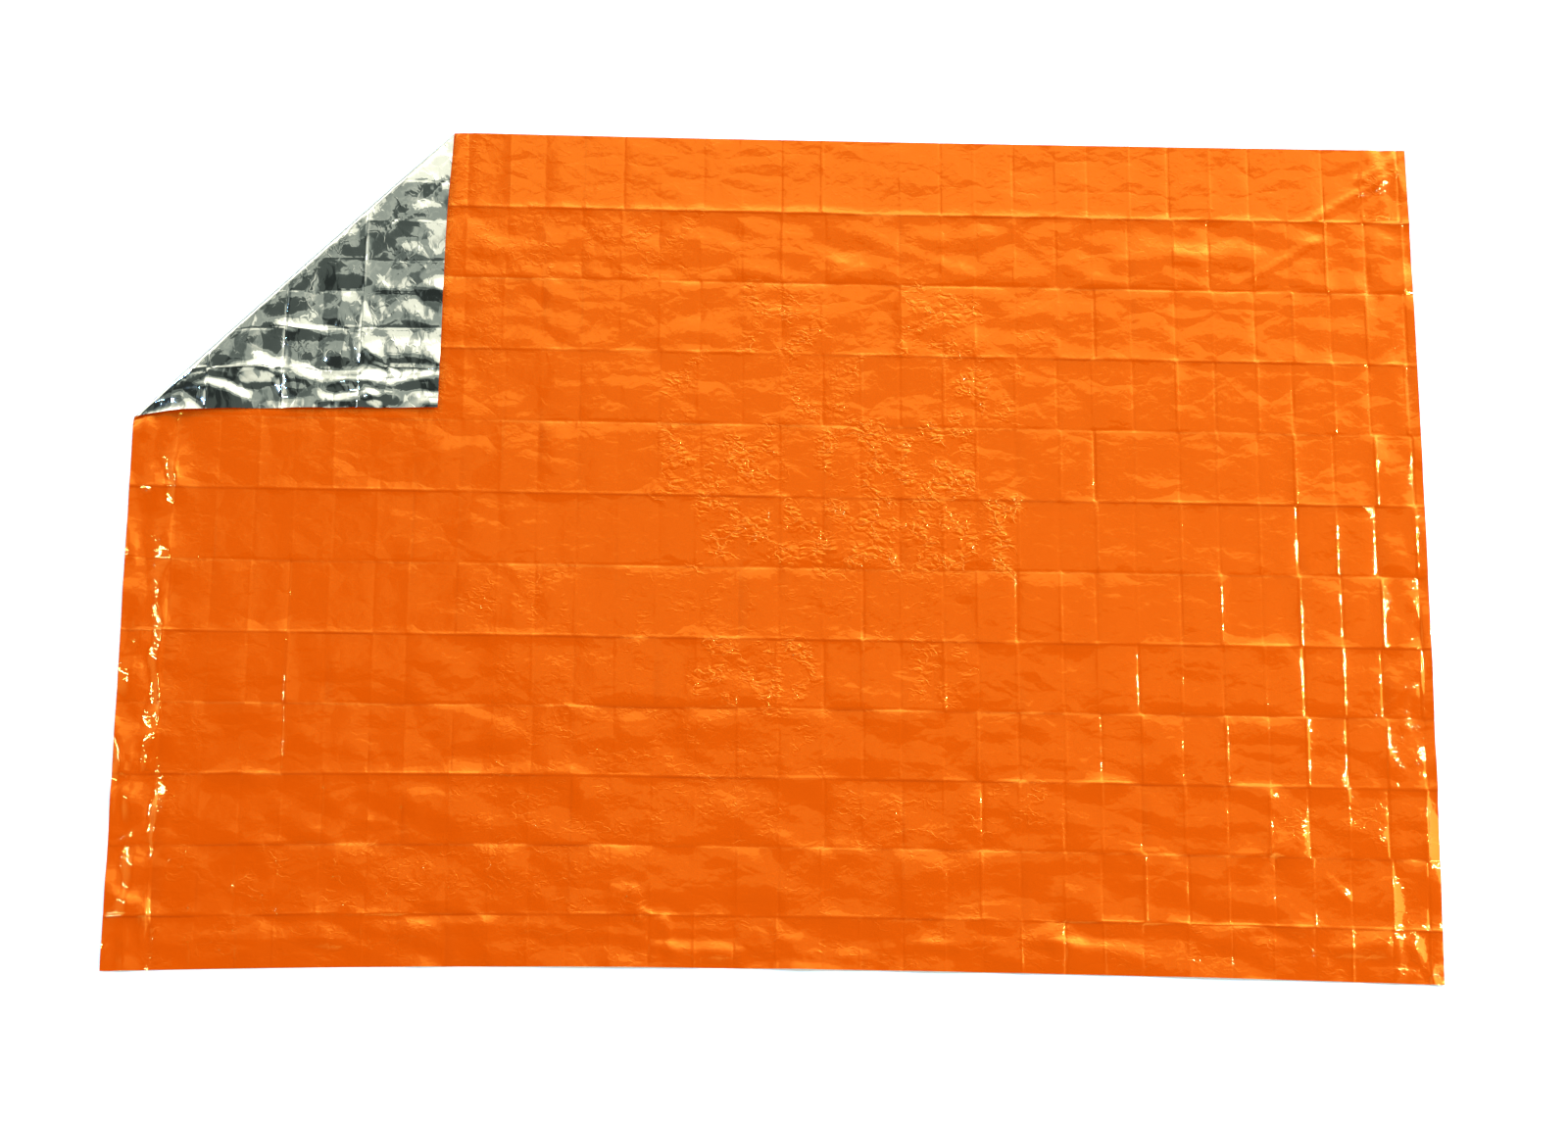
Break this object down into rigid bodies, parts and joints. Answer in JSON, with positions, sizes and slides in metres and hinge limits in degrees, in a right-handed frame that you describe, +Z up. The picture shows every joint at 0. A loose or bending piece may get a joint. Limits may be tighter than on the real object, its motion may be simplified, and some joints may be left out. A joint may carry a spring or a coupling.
{
  "type": "emergency foil blanket",
  "caption": "Rectangular two-coloured foil blanket, orange over silver, laid flat with packing creases and a corner turned over to its silver face.",
  "frame": {"origin": "centre of the blanket's plan, on the surface that it lies on", "axes": "+X along the length, +Y towards the far long edge with the turned corner at -X, +Z up"},
  "size_m": [2.1, 1.4, 0.02],
  "materials": {
    "orange_film": "glossy orange film, crumpled",
    "silver_film": "bright metallised film, crumpled"
  },
  "bodies": {
    "root": {"blanket": "orange_film"}
  },
  "joints": []
}
